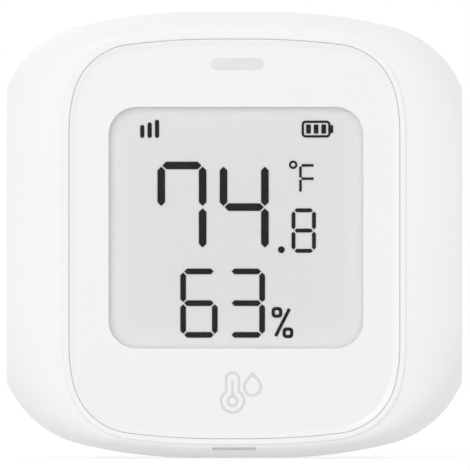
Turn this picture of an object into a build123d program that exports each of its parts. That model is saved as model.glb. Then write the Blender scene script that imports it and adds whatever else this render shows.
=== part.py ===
from build123d import *
import math
import os
from collections import namedtuple

# Millimetres. X runs to the right, Z up, and the display faces -Y.
# The origin is under the middle of the body, on the surface that it stands on.

# Cells and the bay that they lie in
cell_diameter = 10.5
cell_length = 44.5
nub_diameter = 3.8
nub_length = 0.9
cell_chamfer = 0.4
cell_rib = 1.2
cell_seat_gap = 0.2
cell_back_gap = 0.35
spring_room = 3.6
contact_thickness = 0.4
bay_end_wall = 1.2
bay_side_room = 3.15

# Housing walls
wall = 1.8
back_wall = 1.5
bay_room = 15.95
side_edge_radius = 0.6
seam_chamfer = 0.2

# Outline of the body before its sides are cut flat
side_cut = 2.9
body_flat = 5.2
body_crown_sweep = 14.0
body_knee_sweep = 54.1
body_knee_radius = 14.1
body_side_radius = 39.0

# Depths of the rolled front, of the straight band and of the rolled back
front_roll_depth = 8.7
front_band = 7.0
back_roll_depth = 7.0
back_roll_inset = 5.0
roll_steps = 6
hollow_steps = 3

# Face plate: borders from the body's outline, and its own corner arcs
side_flank = 8.5
top_flank = 3.8
bottom_flank = 2.75
plate_flat = 2.0
plate_crown_sweep = 7.0
plate_knee_sweep = 69.5
plate_knee_radius = 8.6
plate_side_radius = 21.4
plate_thickness = 1.5
plate_gap = 0.1
plate_step = 0.25
plate_chamfer = 0.12

# Raised bead round the plate
bead_width = 0.85
bead_height = 0.3
bead_radius = 0.25

# Tape and the flange that the plate sits on
tape_thickness = 0.2
tape_margin = 0.6
flange_thickness = 1.2

# Display window in the plate
window_side_border = 4.95
window_top_border = 8.95
window_bottom_border = 11.95
window_shift = 0.2
window_radius = 3.8
window_gap = 0.04
window_rim = 1.2
window_rim_thickness = 0.7

# Liquid crystal display behind the window
glass_border = 1.5
glass_ledge = 2.4
glass_thickness = 1.1
polariser_thickness = 0.2
polariser_margin = 0.5
glass_gap = 0.1
glass_clearance = 0.15
holder_floor = 1.9
holder_rim = 1.2
zebra_width = 1.8
zebra_margin = 1.5
zebra_gap = 0.1
holder_pocket = 1.1
holder_web = 2.4

# Indicator light
pill_width = 7.1
pill_height = 1.57
pill_shift = 0.38
pill_drop = 3.27
pill_gap = 0.05
pipe_collar = 0.9
pipe_collar_thickness = 0.8
pipe_tail_width = 4.6
led_width = 1.6
led_length = 3.2
led_thickness = 0.8
led_gap = 0.1

# Vent slit in the lower flank, at its height on the surface and its lean
slit_length = 5.85
slit_width = 0.6
slit_height = 1.28
slit_lean = 30.0
slit_depth = 7.0

# Main board
board_thickness = 1.0
board_gap = 1.2
board_notch_gap = 0.5
board_side_room = 3.8
board_screw_x = 16.5
board_screw_inset = 3.3
island_width = 8.0
island_height = 6.0
island_slot = 0.9
sensor_size = 2.6
sensor_thickness = 0.8
component_space = 2.9

# Parts on the back of the board
module_width = 16.0
module_height = 18.0
module_thickness = 0.8
module_x = -6.0
module_inset = 3.0
can_margin = 1.2
can_aerial = 5.0
can_thickness = 1.5
can_radius = 0.5
chip_size = 10.0
chip_thickness = 1.2
chip_x = 6.0
chip_drop = 9.0

# Pairing button and its switch
button_x = 12.0
button_clear = 4.75
button_diameter = 4.6
button_collar = 0.8
button_collar_thickness = 0.7
button_proud = 1.3
button_gap = 0.15
button_travel = 0.3
switch_size = 4.2
switch_thickness = 1.3
plunger_diameter = 2.0
plunger_gap = 0.05
plunger_stand = 0.4
plunger_root = 0.6
button_nub = 1.2
button_end_gap = 0.1

# Battery tray
tray_floor = 1.2
tray_clearance = 0.2
tray_wall_rise = 7.4
tray_rib_rise = 4.6
bay_edge_wall = 1.0
cradle_x = 13.0
cradle_thickness = 1.0
cradle_gap = 0.15
cradle_rise = 2.6
guide_wall = 1.0
guide_rise = 0.8

# Contacts and springs
contact_width = 8.6
contact_rise = 8.8
tail_width = 2.0
tail_gap = 0.15
contact_corner = 1.0
spring_wire = 0.5
wire_sides = 8
spring_foot_radius = 3.1
spring_tip_radius = 2.1
spring_turns = 3
gap_marks = 24

# Screws and their bosses
screw_diameter = 2.0
screw_head_diameter = 3.6
screw_head_height = 1.1
screw_length = 6.0
screw_fit = 0.04
screw_hole_spare = 0.4
screw_play = 0.2
boss_diameter = 4.4
tray_boss_inset = 12.4
board_screw_length = 4.0

# Rear cover
lip_thickness = 1.0
lip_length = 2.4
lip_gap = 0.2
lip_root = 1.5
keyhole_diameter = 7.4
keyhole_slot = 4.2
keyhole_rise = 5.6
keyhole_inset = 14.4
vent_count = 5
vent_length = 6.0
vent_width = 1.2
vent_pitch = 2.9
vent_height = 10.5
notch_length = 12.0
notch_width = 1.3
notch_depth = 0.8

# How far a cutter runs past what it cuts
overrun = 1.0

# Depths, from the face towards the back
stack = (
    plate_step + plate_thickness + glass_gap + 2 * polariser_thickness
    + 2 * glass_thickness + holder_floor + board_thickness + component_space
    + tray_floor + cell_seat_gap + cell_diameter + cell_back_gap + back_wall
)
back_y = stack / 2
front_y = -back_y
plate_front = front_y + plate_step
plate_back = plate_front + plate_thickness
seat_y = plate_back + tape_thickness
flange_back = seat_y + flange_thickness
glass_front = plate_back + glass_gap + polariser_thickness
glass_middle = glass_front + glass_thickness
glass_back = glass_middle + glass_thickness
holder_front = glass_back + polariser_thickness
board_front = holder_front + holder_floor
board_back = board_front + board_thickness
tray_front = board_back + component_space
tray_back = tray_front + tray_floor
cell_y = tray_back + cell_seat_gap + cell_diameter / 2
inner_back = back_y - back_wall
roll_front = front_y + bead_height
band_front = roll_front + front_roll_depth
parting_y = band_front + front_band
band_back = back_y - back_roll_depth

# Widths and heights
cell_rise = (cell_diameter + cell_rib) / 2
bay_half = (cell_length + spring_room) / 2 + contact_thickness
body_width = 2 * (bay_half + bay_end_wall + bay_side_room + wall)
bay_height = 2 * cell_rise + cell_diameter + 2 * cradle_gap
body_height = bay_height + 2 * (bay_edge_wall + bay_room + wall)
body_centre = body_height / 2
plate_width = body_width - 2 * side_flank
plate_height = body_height - top_flank - bottom_flank
plate_centre = bottom_flank + plate_height / 2
plate_top = body_height - top_flank
window_width = plate_width - 2 * window_side_border
window_height = plate_height - window_top_border - window_bottom_border
window_centre = bottom_flank + window_bottom_border + window_height / 2
glass_width = window_width + 2 * glass_border
glass_height = window_height + 2 * glass_border
pill_centre = plate_top - pill_drop
board_width = body_width - 2 * (wall + board_side_room)
button_centre = body_centre + bay_height / 2 + bay_edge_wall + button_clear
boss_x = body_width / 2 - wall - boss_diameter / 2 - tray_clearance
opening_width = glass_width + 2 * glass_clearance
opening_height = glass_height + glass_ledge + 2 * glass_clearance
keyhole_height = body_height - keyhole_inset
glass_centre = window_centre - glass_ledge / 2
zebra_centre = window_centre - (glass_height + glass_ledge) / 2
zebra_length = glass_width - 2 * zebra_margin
pocket_width = (glass_width - 3 * holder_web) / 2
pocket_height = (glass_height - 3 * holder_web) / 2
board_bottom = wall + board_gap
bay_inner = bay_half - contact_thickness
button_dome = button_proud / 2
tray_screw_rise = body_centre - tray_boss_inset
board_screw_rise = body_centre - wall - board_gap - board_screw_inset
quarter_turn = math.pi / 2

# Where the slit's middle meets the lower flank, and its lean
flank_bottom = bottom_flank - plate_gap - bead_width
slit_share = 1 - slit_height / flank_bottom
slit_y = band_front - front_roll_depth * math.sqrt(1 - slit_share**2)
slit_turn = math.radians(slit_lean)
slit_plane = Plane(
    origin=(0, slit_y, slit_height), x_dir=(1, 0, 0),
    z_dir=(0, -math.cos(slit_turn), -math.sin(slit_turn)),
)

Outline = namedtuple(
    "Outline", "half_width half_height half_flat crown_sweep knee_sweep knee_radius side_radius"
)
body_outline = Outline(
    body_width / 2 + side_cut, body_height / 2, body_flat,
    body_crown_sweep, body_knee_sweep, body_knee_radius, body_side_radius,
)
plate_outline = Outline(
    plate_width / 2, plate_height / 2, plate_flat,
    plate_crown_sweep, plate_knee_sweep, plate_knee_radius, plate_side_radius,
)


def inset(outline, distance):
    """The outline with its sides and arcs all moved in by a distance."""
    return outline._replace(
        half_width=outline.half_width - distance,
        half_height=outline.half_height - distance,
        knee_radius=outline.knee_radius - distance,
        side_radius=outline.side_radius - distance,
    )


def blend(first, last, share):
    """An outline part of the way from the first to the last."""
    return Outline(*(a + (b - a) * share for a, b in zip(first, last)))


rim_outline = inset(plate_outline, -plate_gap - bead_width)
back_outline = inset(body_outline, back_roll_inset)


def facing(y, height=0):
    """A plane at a depth, seen from the front: its own x and y are X and Z."""
    return Plane(origin=(0, y, height), x_dir=(1, 0, 0), z_dir=(0, -1, 0))


def squircle(outline):
    """A rounded square about the sketch's origin: a short flat, then a crown,
    a knee and a side arc that run into each other in every quarter."""
    turned = math.radians(outline.crown_sweep + outline.knee_sweep)
    reach = outline.half_width - outline.half_flat - outline.side_radius
    reach += (outline.side_radius - outline.knee_radius) * math.sin(turned)
    crown_radius = outline.knee_radius + reach / math.sin(math.radians(outline.crown_sweep))
    side_sweep = 90 - outline.crown_sweep - outline.knee_sweep
    with BuildLine() as loop:
        flat = Line((0, outline.half_height), (outline.half_flat, outline.half_height))
        crown = JernArc(flat @ 1, flat % 1, crown_radius, -outline.crown_sweep)
        knee = JernArc(crown @ 1, crown % 1, outline.knee_radius, -outline.knee_sweep)
        side = JernArc(knee @ 1, knee % 1, outline.side_radius, -side_sweep)
        Line(side @ 1, (outline.half_width, 0))
        mirror(about=Plane.YZ)
        mirror(about=Plane.XZ)
    make_face(loop.edges())


def section(y, height, outline):
    """A squircle sketch at a depth, about a height."""
    with BuildSketch(facing(y, height)) as sketch:
        squircle(outline)
    return sketch.sketch


def front_section(turn, inward):
    """One section of the rolled front, moved in by a wall."""
    share = math.sin(turn)
    y = band_front - front_roll_depth * math.cos(turn)
    height = plate_centre + (body_centre - plate_centre) * share
    return section(y, height, inset(blend(rim_outline, body_outline, share), inward))


def back_section(turn, inward):
    """One section of the rolled back, moved in by a wall."""
    share = math.sin(turn)
    y = band_back + back_roll_depth * math.cos(turn)
    return section(y, body_centre, inset(blend(back_outline, body_outline, share), inward))


def turns(first, last, steps):
    """The turns at which a roll's sections stand."""
    return [first + (last - first) * step / steps for step in range(steps + 1)]


def band_section(y, inward):
    """The body's outline with its sides cut flat, moved in by a wall."""
    with BuildSketch(facing(y, body_centre)) as sketch:
        squircle(inset(body_outline, inward))
        Rectangle(body_width - 2 * inward, body_height, mode=Mode.INTERSECT)
    return sketch.sketch


def trim_to_sides(inward):
    """Cuts what is being built to the flat sides, moved in by a wall."""
    with Locations((0, 0, body_centre)):
        Box(
            body_width - 2 * inward, 2 * body_width, body_height - 2 * inward,
            mode=Mode.INTERSECT,
        )


def coil_place(turned, foot, reach, heading):
    """A point on the spring's tapering coil and the direction of its wire there."""
    share = turned / (2 * math.pi * spring_turns)
    radius = spring_foot_radius + (spring_tip_radius - spring_foot_radius) * share
    taper = (spring_tip_radius - spring_foot_radius) / (2 * math.pi * spring_turns)
    climb = heading * reach / (2 * math.pi * spring_turns)
    point = Vector(
        foot.X + climb * turned,
        foot.Y + radius * math.cos(turned),
        foot.Z + radius * math.sin(turned),
    )
    direction = Vector(
        climb,
        taper * math.cos(turned) - radius * math.sin(turned),
        taper * math.sin(turned) + radius * math.cos(turned),
    )
    return point, direction.normalized()


def coil_path(foot, reach, heading):
    """The spring's wire as a pair of tangent arcs for each quarter turn."""
    with BuildLine() as path:
        for quarter in range(4 * spring_turns):
            start, leaving = coil_place(quarter * quarter_turn, foot, reach, heading)
            end, arriving = coil_place((quarter + 1) * quarter_turn, foot, reach, heading)
            chord = end - start
            both = leaving + arriving
            bend = 2 * (1 - leaving.dot(arriving))
            along = chord.dot(both)
            handle = (math.sqrt(along * along + bend * chord.dot(chord)) - along) / bend
            first = start + leaving * handle
            last = end - arriving * handle
            TangentArc(start, (first + last) * 0.5, tangent=leaving)
            TangentArc((first + last) * 0.5, end, tangent=last - first)
    return path.line


def least_gap(path):
    """The least gap of a coil's wire to itself, measured on points along it."""
    marks = gap_marks * spring_turns
    points = [path @ (mark / marks) for mark in range(marks + 1)]
    half = gap_marks // 2
    spans = [
        (points[late] - points[early]).length
        for early in range(marks + 1 - half)
        for late in range(early + half, marks + 1)
    ]
    return min(spans) - spring_wire


def board_screw_places():
    """Where the board's four screws stand, as X and Z."""
    return [
        (x, body_centre + z)
        for x in (-board_screw_x, board_screw_x)
        for z in (-board_screw_rise, board_screw_rise)
    ]


def tray_screw_places():
    """Where the tray's four screws stand, as X and Z."""
    return [
        (x, body_centre + z)
        for x in (-boss_x, boss_x)
        for z in (-tray_screw_rise, tray_screw_rise)
    ]


def tail_places():
    """Where the contacts' tails pass through the tray, as X and Z."""
    x = bay_half - contact_thickness / 2
    return [(side * x, body_centre + z) for side in (-1, 1) for z in (-cell_rise, cell_rise)]


def finish(builder, name):
    """Labels a piece and writes it under its node's name."""
    builder.part.label = name
    export_step(builder.part, f"parts/{name}.step")


os.makedirs("parts", exist_ok=True)

# Hollow inside the front case, from the flange to the seam
first_turn = math.acos((band_front - flange_back) / front_roll_depth)
with BuildPart() as front_hollow:
    loft([front_section(turn, wall) for turn in turns(first_turn, quarter_turn, hollow_steps)], ruled=True)
    extrude(section(band_front, body_centre, inset(body_outline, wall)), amount=-front_band - overrun)
    trim_to_sides(wall)

# Front case: the rolled shell with its flat sides, and the edge at the seam
with BuildPart() as front_case:
    loft([front_section(turn, 0) for turn in turns(0, quarter_turn, roll_steps)])
    extrude(section(band_front, body_centre, body_outline), amount=-front_band)
    trim_to_sides(0)
    flat_sides = front_case.faces().sort_by(Axis.X)
    for side in (flat_sides[0], flat_sides[-1]):
        fillet(side.edges().filter_by(lambda e: e.center().Y < parting_y - seam_chamfer), side_edge_radius)
    chamfer(front_case.faces().sort_by(Axis.Y)[-1].edges(), seam_chamfer)

    # Bead round the plate, and the recess that the plate lies in
    extrude(section(roll_front, plate_centre, rim_outline), amount=bead_height)
    extrude(
        section(seat_y, plate_centre, inset(plate_outline, -plate_gap)),
        amount=seat_y - front_y + overrun, mode=Mode.SUBTRACT,
    )
    fillet(front_case.faces().sort_by(Axis.Y)[0].edges(), bead_radius)
    add(front_hollow.part, mode=Mode.SUBTRACT)

    # Openings in the flange for the glass and the light pipe
    with BuildSketch(facing(flange_back)):
        with Locations((window_shift, glass_centre)):
            Rectangle(opening_width, opening_height)
        with Locations((pill_shift, pill_centre)):
            SlotOverall(pill_width, pill_height)
    extrude(amount=flange_back - front_y, mode=Mode.SUBTRACT)

    # Bosses for the board's and the tray's screws, with their pilot holes
    with BuildSketch(facing(board_front)):
        with Locations(*board_screw_places()):
            Circle(boss_diameter / 2)
    extrude(amount=board_front - flange_back)
    with BuildSketch(facing(tray_front)):
        with Locations(*tray_screw_places()):
            Circle(boss_diameter / 2)
    extrude(amount=tray_front - flange_back)
    with BuildSketch(facing(board_front)):
        with Locations(*board_screw_places()):
            Circle(screw_diameter / 2 + screw_fit)
    extrude(amount=board_screw_length - board_thickness + screw_hole_spare, mode=Mode.SUBTRACT)
    with BuildSketch(facing(tray_front)):
        with Locations(*tray_screw_places()):
            Circle(screw_diameter / 2 + screw_fit)
    extrude(amount=screw_length - tray_floor + screw_hole_spare, mode=Mode.SUBTRACT)

    # Vent slit in the lower flank, leaning back and up to the sensing chip
    with BuildSketch(slit_plane):
        SlotOverall(slit_length, slit_width)
    extrude(amount=overrun, mode=Mode.SUBTRACT)
    with BuildSketch(slit_plane):
        SlotOverall(slit_length, slit_width)
    extrude(amount=-slit_depth, mode=Mode.SUBTRACT)
finish(front_case, "front_case")

# Face plate with its window, the rebate for the window's rim, and the pill
with BuildPart() as face_plate:
    extrude(section(plate_back, plate_centre, plate_outline), amount=plate_thickness)
    chamfer(face_plate.faces().sort_by(Axis.Y)[0].edges(), plate_chamfer)
    with BuildSketch(facing(plate_back)):
        with Locations((window_shift, window_centre)):
            RectangleRounded(window_width, window_height, window_radius)
        with Locations((pill_shift, pill_centre)):
            SlotOverall(pill_width, pill_height)
    extrude(amount=plate_thickness, mode=Mode.SUBTRACT)
    with BuildSketch(facing(plate_back)):
        with Locations((window_shift, window_centre)):
            RectangleRounded(
                window_width + 2 * window_rim, window_height + 2 * window_rim,
                window_radius + window_rim,
            )
    extrude(amount=window_rim_thickness, mode=Mode.SUBTRACT)
finish(face_plate, "face_plate")

# Display window: a clear lens with a rim behind the plate
with BuildPart() as display_window:
    with BuildSketch(facing(plate_back)):
        with Locations((window_shift, window_centre)):
            RectangleRounded(
                window_width - 2 * window_gap, window_height - 2 * window_gap,
                window_radius - window_gap,
            )
    extrude(amount=plate_thickness)
    with BuildSketch(facing(plate_back)):
        with Locations((window_shift, window_centre)):
            RectangleRounded(
                window_width + 2 * (window_rim - window_gap),
                window_height + 2 * (window_rim - window_gap),
                window_radius + window_rim - window_gap,
            )
    extrude(amount=window_rim_thickness - window_gap)
finish(display_window, "display_window")

# Tape between the plate and the flange, cut out round the glass and the pill
with BuildPart() as plate_tape:
    extrude(section(seat_y, plate_centre, inset(plate_outline, tape_margin)), amount=tape_thickness)
    with BuildSketch(facing(seat_y)):
        with Locations((window_shift, glass_centre)):
            Rectangle(opening_width, opening_height)
        with Locations((pill_shift, pill_centre)):
            SlotOverall(pill_width, pill_height)
    extrude(amount=tape_thickness, mode=Mode.SUBTRACT)
finish(plate_tape, "plate_tape")

# Light pipe: the pill in the plate, a collar behind the flange and a tail
with BuildPart() as light_pipe:
    with BuildSketch(facing(flange_back)):
        with Locations((pill_shift, pill_centre)):
            SlotOverall(pill_width - 2 * pill_gap, pill_height - 2 * pill_gap)
    extrude(amount=flange_back - plate_front)
    with BuildSketch(facing(flange_back + pipe_collar_thickness)):
        with Locations((pill_shift, pill_centre)):
            SlotOverall(pill_width + 2 * pipe_collar, pill_height + 2 * pipe_collar)
    extrude(amount=pipe_collar_thickness)
    with BuildSketch(facing(board_front - led_thickness - led_gap)):
        with Locations((pill_shift, pill_centre)):
            SlotOverall(pipe_tail_width, pill_height)
    extrude(amount=board_front - led_thickness - led_gap - flange_back)
finish(light_pipe, "light_pipe")

# Layers of the display: each is a plate in front of the next
layers = (
    ("front_polariser", glass_front, polariser_thickness, polariser_margin, 0),
    ("lcd_front_glass", glass_middle, glass_thickness, 0, glass_ledge),
    ("lcd_rear_glass", glass_back, glass_thickness, 0, 0),
    ("rear_polariser", holder_front, polariser_thickness, polariser_margin, 0),
)
for name, back, thickness, margin, ledge in layers:
    with BuildPart() as layer:
        with BuildSketch(facing(back)):
            with Locations((window_shift, window_centre - ledge / 2)):
                Rectangle(glass_width - 2 * margin, glass_height + ledge - 2 * margin)
        extrude(amount=thickness)
    finish(layer, name)

# Display holder: a rimmed frame on the board, hollowed from behind
with BuildPart() as lcd_holder:
    with BuildSketch(facing(board_front)):
        with Locations((window_shift, glass_centre)):
            Rectangle(opening_width + 2 * holder_rim, opening_height + 2 * holder_rim)
    extrude(amount=board_front - flange_back)
    with BuildSketch(facing(holder_front)):
        with Locations((window_shift, glass_centre)):
            Rectangle(opening_width, opening_height)
    extrude(amount=holder_front - flange_back, mode=Mode.SUBTRACT)
    with BuildSketch(facing(board_front)):
        with Locations((window_shift, window_centre)):
            with GridLocations(pocket_width + holder_web, pocket_height + holder_web, 2, 2):
                Rectangle(pocket_width, pocket_height)
    extrude(amount=holder_pocket, mode=Mode.SUBTRACT)
    with BuildSketch(facing(board_front)):
        with Locations((window_shift, zebra_centre)):
            Rectangle(zebra_length + 2 * zebra_gap, zebra_width + 2 * zebra_gap)
    extrude(amount=holder_floor, mode=Mode.SUBTRACT)
finish(lcd_holder, "lcd_holder")

# Striped rubber connector from the glass ledge to the board
with BuildPart() as zebra_strip:
    with BuildSketch(facing(board_front)):
        with Locations((window_shift, zebra_centre)):
            Rectangle(zebra_length, zebra_width)
    extrude(amount=board_front - glass_middle)
finish(zebra_strip, "zebra_strip")

# Main board, notched round the tray's bosses, with a tongue for the sensor
with BuildPart() as main_board:
    with BuildSketch(facing(board_back, body_centre)):
        squircle(inset(body_outline, wall + board_gap))
        Rectangle(board_width, body_height, mode=Mode.INTERSECT)
    extrude(amount=board_thickness)
    with BuildSketch(facing(board_back)):
        with Locations(*tray_screw_places()):
            Circle(boss_diameter / 2 + board_notch_gap)
        with Locations(*board_screw_places()):
            Circle(screw_diameter / 2 + screw_play)
        with Locations((0, board_bottom + (island_height - overrun) / 2)):
            with GridLocations(island_width + island_slot, 0, 2, 1):
                Rectangle(island_slot, island_height + overrun)
    extrude(amount=board_thickness, mode=Mode.SUBTRACT)
finish(main_board, "main_board")


def board_piece(name, surface, thickness, x, z, width, height, radius=0.0):
    """A flat rectangular part whose back lies on a surface."""
    with BuildPart() as piece:
        with BuildSketch(facing(surface)):
            with Locations((x, z)):
                if radius:
                    RectangleRounded(width, height, radius)
                else:
                    Rectangle(width, height)
        extrude(amount=thickness)
    finish(piece, name)


# Sensing chip and light on the front of the board
board_piece(
    "humidity_sensor", board_front, sensor_thickness,
    0, board_bottom + island_height / 2, sensor_size, sensor_size,
)
board_piece(
    "status_led", board_front, led_thickness, pill_shift, pill_centre, led_length, led_width,
)

# Radio module, its shield can and the controller chip on the back
module_back = board_back + module_thickness
module_centre = body_height - board_bottom - module_inset - module_height / 2
board_piece(
    "radio_module", module_back, module_thickness,
    module_x, module_centre, module_width, module_height,
)
board_piece(
    "shield_can", module_back + can_thickness, can_thickness,
    module_x, module_centre - can_aerial / 2,
    module_width - 2 * can_margin, module_height - can_aerial - 2 * can_margin, can_radius,
)
board_piece(
    "controller_chip", board_back + chip_thickness, chip_thickness,
    chip_x, body_centre - chip_drop, chip_size, chip_size,
)

# Switch under the pairing button, and its plunger
switch_back = board_back + switch_thickness
with BuildPart() as switch_body:
    with BuildSketch(facing(switch_back)):
        with Locations((button_x, button_centre)):
            Rectangle(switch_size, switch_size)
    extrude(amount=switch_thickness)
    with BuildSketch(facing(switch_back)):
        with Locations((button_x, button_centre)):
            Circle(plunger_diameter / 2 + plunger_gap)
    extrude(amount=plunger_root + button_travel + plunger_gap, mode=Mode.SUBTRACT)
finish(switch_body, "switch_body")

with BuildPart() as switch_plunger:
    with BuildSketch(facing(switch_back + plunger_stand)):
        with Locations((button_x, button_centre)):
            Circle(plunger_diameter / 2)
    extrude(amount=plunger_stand + plunger_root)
finish(switch_plunger, "switch_plunger")

# Pairing button: a domed cap, a collar under the tray and a nub on the plunger
collar_back = tray_front - button_end_gap
with BuildPart() as pairing_button:
    with BuildSketch(facing(tray_back + button_proud)):
        with Locations((button_x, button_centre)):
            Circle(button_diameter / 2)
    extrude(amount=tray_back + button_proud - collar_back)
    fillet(pairing_button.faces().sort_by(Axis.Y)[-1].edges(), button_dome)
    with BuildSketch(facing(collar_back)):
        with Locations((button_x, button_centre)):
            Circle(button_diameter / 2 + button_collar)
    extrude(amount=button_collar_thickness)
    with BuildSketch(facing(collar_back)):
        with Locations((button_x, button_centre)):
            Circle(button_nub)
    extrude(amount=collar_back - switch_back - plunger_stand)
finish(pairing_button, "pairing_button")

# Battery tray: floor, bay walls, middle rib, cradles, button guide and holes
with BuildPart() as battery_tray:
    extrude(band_section(tray_back, wall + tray_clearance), amount=tray_floor)
    with BuildSketch(facing(tray_back + tray_rib_rise, body_centre)):
        Rectangle(2 * (bay_half + bay_end_wall), bay_height + 2 * bay_edge_wall)
        Rectangle(2 * bay_half, bay_height, mode=Mode.SUBTRACT)
        Rectangle(2 * (bay_inner - tail_gap), cell_rib)
    extrude(amount=tray_rib_rise)
    with BuildSketch(facing(tray_back + tray_wall_rise, body_centre)):
        with GridLocations(2 * bay_half + bay_end_wall, 0, 2, 1):
            Rectangle(bay_end_wall, bay_height)
    extrude(amount=tray_wall_rise)
    for x in (-cradle_x, cradle_x):
        with BuildSketch(Plane.YZ.offset(x - cradle_thickness / 2)):
            with Locations((tray_back + cradle_rise / 2, body_centre)):
                Rectangle(cradle_rise, bay_height)
            with Locations((cell_y, body_centre - cell_rise), (cell_y, body_centre + cell_rise)):
                Circle(cell_diameter / 2 + cradle_gap, mode=Mode.SUBTRACT)
        extrude(amount=cradle_thickness)
    with BuildSketch(facing(tray_back + guide_rise)):
        with Locations((button_x, button_centre)):
            Circle(button_diameter / 2 + button_gap + guide_wall)
    extrude(amount=guide_rise)
    with BuildSketch(facing(tray_back + guide_rise)):
        with Locations((button_x, button_centre)):
            Circle(button_diameter / 2 + button_gap)
        with Locations(*tray_screw_places()):
            Circle(screw_diameter / 2 + screw_play)
        with Locations(*tail_places()):
            Rectangle(contact_thickness + 2 * tail_gap, tail_width + 2 * tail_gap)
    extrude(amount=guide_rise + tray_floor, mode=Mode.SUBTRACT)
finish(battery_tray, "battery_tray")


def cell(name, height, heading):
    """A cell lying along X, with its nub at the end that it heads for."""
    with BuildPart() as body:
        with BuildSketch(Plane(
            origin=(heading * (bay_inner - nub_length), cell_y, height), z_dir=(-heading, 0, 0)
        )):
            Circle(cell_diameter / 2)
        extrude(amount=cell_length - nub_length)
        chamfer(body.edges().filter_by(GeomType.CIRCLE), cell_chamfer)
        with BuildSketch(Plane(
            origin=(heading * bay_inner, cell_y, height), z_dir=(-heading, 0, 0)
        )):
            Circle(nub_diameter / 2)
        extrude(amount=nub_length)
    finish(body, name)


def contact(name, heading, low, high, tails):
    """A flat contact on the bay's end wall, with tails down to the board."""
    with BuildPart() as plate:
        with BuildSketch(Plane.YZ.offset(heading * bay_half)):
            with Locations((tray_back + contact_rise / 2, (low + high) / 2)):
                RectangleRounded(contact_rise, high - low, contact_corner)
            with Locations(*[((board_back + tray_back + contact_corner) / 2, z) for z in tails]):
                Rectangle(tray_back + contact_corner - board_back, tail_width)
        extrude(amount=-heading * contact_thickness)
    finish(plate, name)


def spring(name, height, heading):
    """A tapering coil from a contact towards the cell's flat end."""
    foot = Vector(heading * (bay_inner - spring_wire / 2), cell_y, height)
    reach = spring_room - spring_wire
    path = coil_path(foot, reach, -heading)
    with BuildPart() as coil:
        with BuildSketch(Plane(origin=path @ 0, z_dir=path % 0)):
            RegularPolygon(spring_wire / 2, wire_sides)
        sweep(path=path)
    finish(coil, name)
    print(f"{name}: least gap to itself {least_gap(path):.2f} mm")


upper = body_centre + cell_rise
lower = body_centre - cell_rise
half_contact = contact_width / 2
cell("upper_cell", upper, 1)
cell("lower_cell", lower, -1)
contact("positive_terminal", -1, lower - half_contact, lower + half_contact, (lower,))
contact("negative_terminal", -1, upper - half_contact, upper + half_contact, (upper,))
contact("link_contact", 1, lower - half_contact, upper + half_contact, (lower, upper))
spring("upper_spring", upper, -1)
spring("lower_spring", lower, 1)


def screws(name, places, seat, length):
    """Pan-headed screws driven from behind, their heads on a seat."""
    with BuildPart() as group:
        with BuildSketch(facing(seat + screw_head_height)):
            with Locations(*places):
                Circle(screw_head_diameter / 2)
        extrude(amount=screw_head_height)
        with BuildSketch(facing(seat)):
            with Locations(*places):
                Circle(screw_diameter / 2)
        extrude(amount=length)
    finish(group, name)


screws("board_screws", board_screw_places(), board_back, board_screw_length)
screws("tray_screws", tray_screw_places(), tray_back, screw_length)

# Hollow inside the rear cover, from the seam to the back wall
last_turn = math.acos((inner_back - band_back) / back_roll_depth)
with BuildPart() as rear_hollow:
    loft([back_section(turn, wall) for turn in turns(last_turn, quarter_turn, hollow_steps)], ruled=True)
    extrude(
        section(band_back, body_centre, inset(body_outline, wall)),
        amount=band_back - parting_y + overrun,
    )
    trim_to_sides(wall)

# Rear cover: the rolled back shell
with BuildPart() as rear_cover:
    loft([back_section(turn, 0) for turn in turns(0, quarter_turn, roll_steps)])
    extrude(section(band_back, body_centre, body_outline), amount=band_back - parting_y)
    trim_to_sides(0)
    flat_sides = rear_cover.faces().sort_by(Axis.X)
    for side in (flat_sides[0], flat_sides[-1]):
        fillet(side.edges().filter_by(lambda e: e.center().Y > parting_y + seam_chamfer), side_edge_radius)
    chamfer(rear_cover.faces().sort_by(Axis.Y)[0].edges(), seam_chamfer)
    add(rear_hollow.part, mode=Mode.SUBTRACT)

    # Lip that slides into the front case, on a thicker root behind the seam
    extrude(band_section(parting_y + lip_root, wall / 2), amount=lip_root - seam_chamfer)
    extrude(band_section(parting_y + lip_root, wall + lip_gap), amount=lip_root + lip_length)
    extrude(
        band_section(parting_y + lip_root, wall + lip_gap + lip_thickness),
        amount=lip_root + lip_length, mode=Mode.SUBTRACT,
    )

    # Keyhole for a wall screw, and the vent slots under the cells
    with BuildSketch(facing(back_y)):
        with Locations((0, keyhole_height)):
            Circle(keyhole_diameter / 2)
        with Locations((0, keyhole_height + keyhole_rise / 2)):
            SlotCenterToCenter(keyhole_rise, keyhole_slot, rotation=90)
        with Locations((0, vent_height)):
            with GridLocations(vent_pitch, 0, vent_count, 1):
                SlotOverall(vent_length, vent_width, rotation=90)
    extrude(amount=back_wall, mode=Mode.SUBTRACT)

    # Notches in the flat sides, for a fingernail to pull the cover off
    with Locations(*[(x * body_width / 2, parting_y + notch_width / 2, body_centre) for x in (-1, 1)]):
        Box(2 * notch_depth, notch_width, notch_length, mode=Mode.SUBTRACT)
finish(rear_cover, "rear_cover")
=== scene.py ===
import math

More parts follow.
